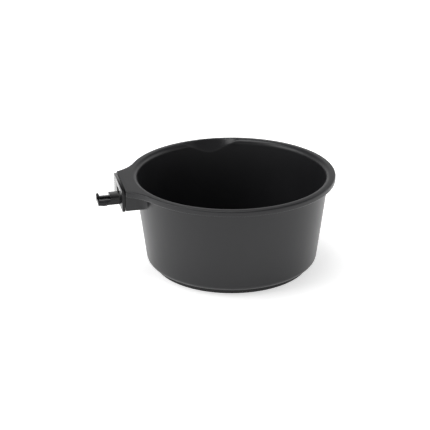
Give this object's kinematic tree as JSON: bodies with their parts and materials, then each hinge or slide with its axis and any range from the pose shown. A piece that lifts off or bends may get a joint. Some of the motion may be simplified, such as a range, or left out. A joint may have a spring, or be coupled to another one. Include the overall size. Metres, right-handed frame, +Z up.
{
  "type": "hair color bowl",
  "caption": "Round tint-mixing bowl with a wide rim, a pouring scoop, a soft foot pad and a clip-on side coupling whose sprung hook is let go by a push button.",
  "frame": {"origin": "on the bowl's axis, on the surface that the foot pad stands on", "axes": "+Z up along the bowl's axis; the coupling points along -X; the pouring scoop in the rim is at +Y"},
  "size_m": [0.1467, 0.127, 0.059],
  "materials": {
    "bowl_shell": "satin moulded polypropylene, dark grey",
    "foot_pad": "matt thermoplastic rubber, black",
    "coupling": "polished moulded plastic, black",
    "steel": "plain stainless steel"
  },
  "bodies": {
    "bowl": {"bowl_shell": "bowl_shell", "foot_pad": "foot_pad", "coupling_plate": "coupling", "latch_pin": "steel", "latch_spring": "steel", "plate_screw_back": "steel", "plate_screw_front": "steel"},
    "latch": {"latch_lever": "coupling"},
    "button": {"release_button": "coupling"}
  },
  "joints": [
    {"name": "latch_tilt", "type": "hinge", "parent": "bowl", "child": "latch", "pos_m": [-0.0662, 0.00355, 0.04905], "axis": [0, -1, 0], "range_deg": [0, 6.6], "stiffness_Nm_per_rad": 0.01, "springref_deg": -20.05, "deforming": ["latch_spring"]},
    {"name": "button_press", "type": "slide", "parent": "bowl", "child": "button", "axis": [0, 0, 1], "range_m": [0, 0.00043]}
  ],
  "couplings": [
    {"joint": "button_press", "follows": "latch_tilt", "m_per_rad": 0.0037}
  ]
}
